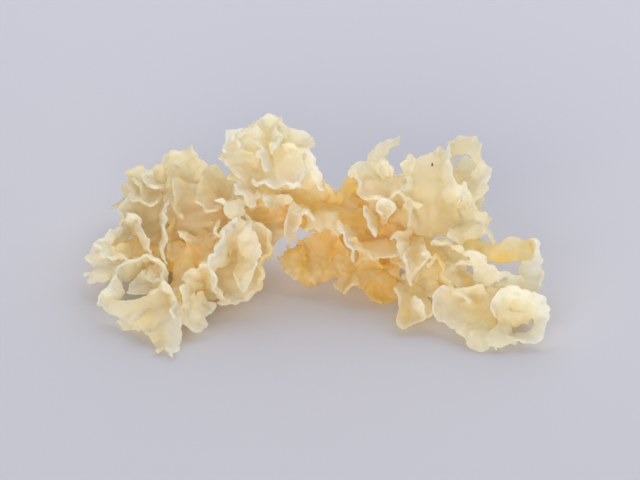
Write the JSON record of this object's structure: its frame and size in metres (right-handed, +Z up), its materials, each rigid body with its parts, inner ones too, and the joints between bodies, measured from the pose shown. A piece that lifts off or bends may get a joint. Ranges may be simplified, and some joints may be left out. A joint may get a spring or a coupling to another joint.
{
  "type": "dried snow fungus piece",
  "caption": "Broken-off piece of dried snow fungus: tufts of thin, ruffled ivory and amber fronds joined by a low neck, resting on a small foot trimmed flat",
  "frame": {"origin": "Middle of the object's box, at the level that it rests on", "axes": "+X along the piece from the large left tuft to the right one, +Y away from the viewer of the picture, +Z up"},
  "size_m": [0.0921, 0.054, 0.0297],
  "materials": {
    "ivory_frond": "dry, translucent, faintly waxy",
    "amber_gel": "dry, translucent, faintly waxy"
  },
  "bodies": {
    "root": {"left_tuft": "ivory_frond", "crown_tuft": "ivory_frond", "neck": "amber_gel", "right_rear_tuft": "ivory_frond", "right_front_tuft": "ivory_frond"}
  },
  "joints": []
}
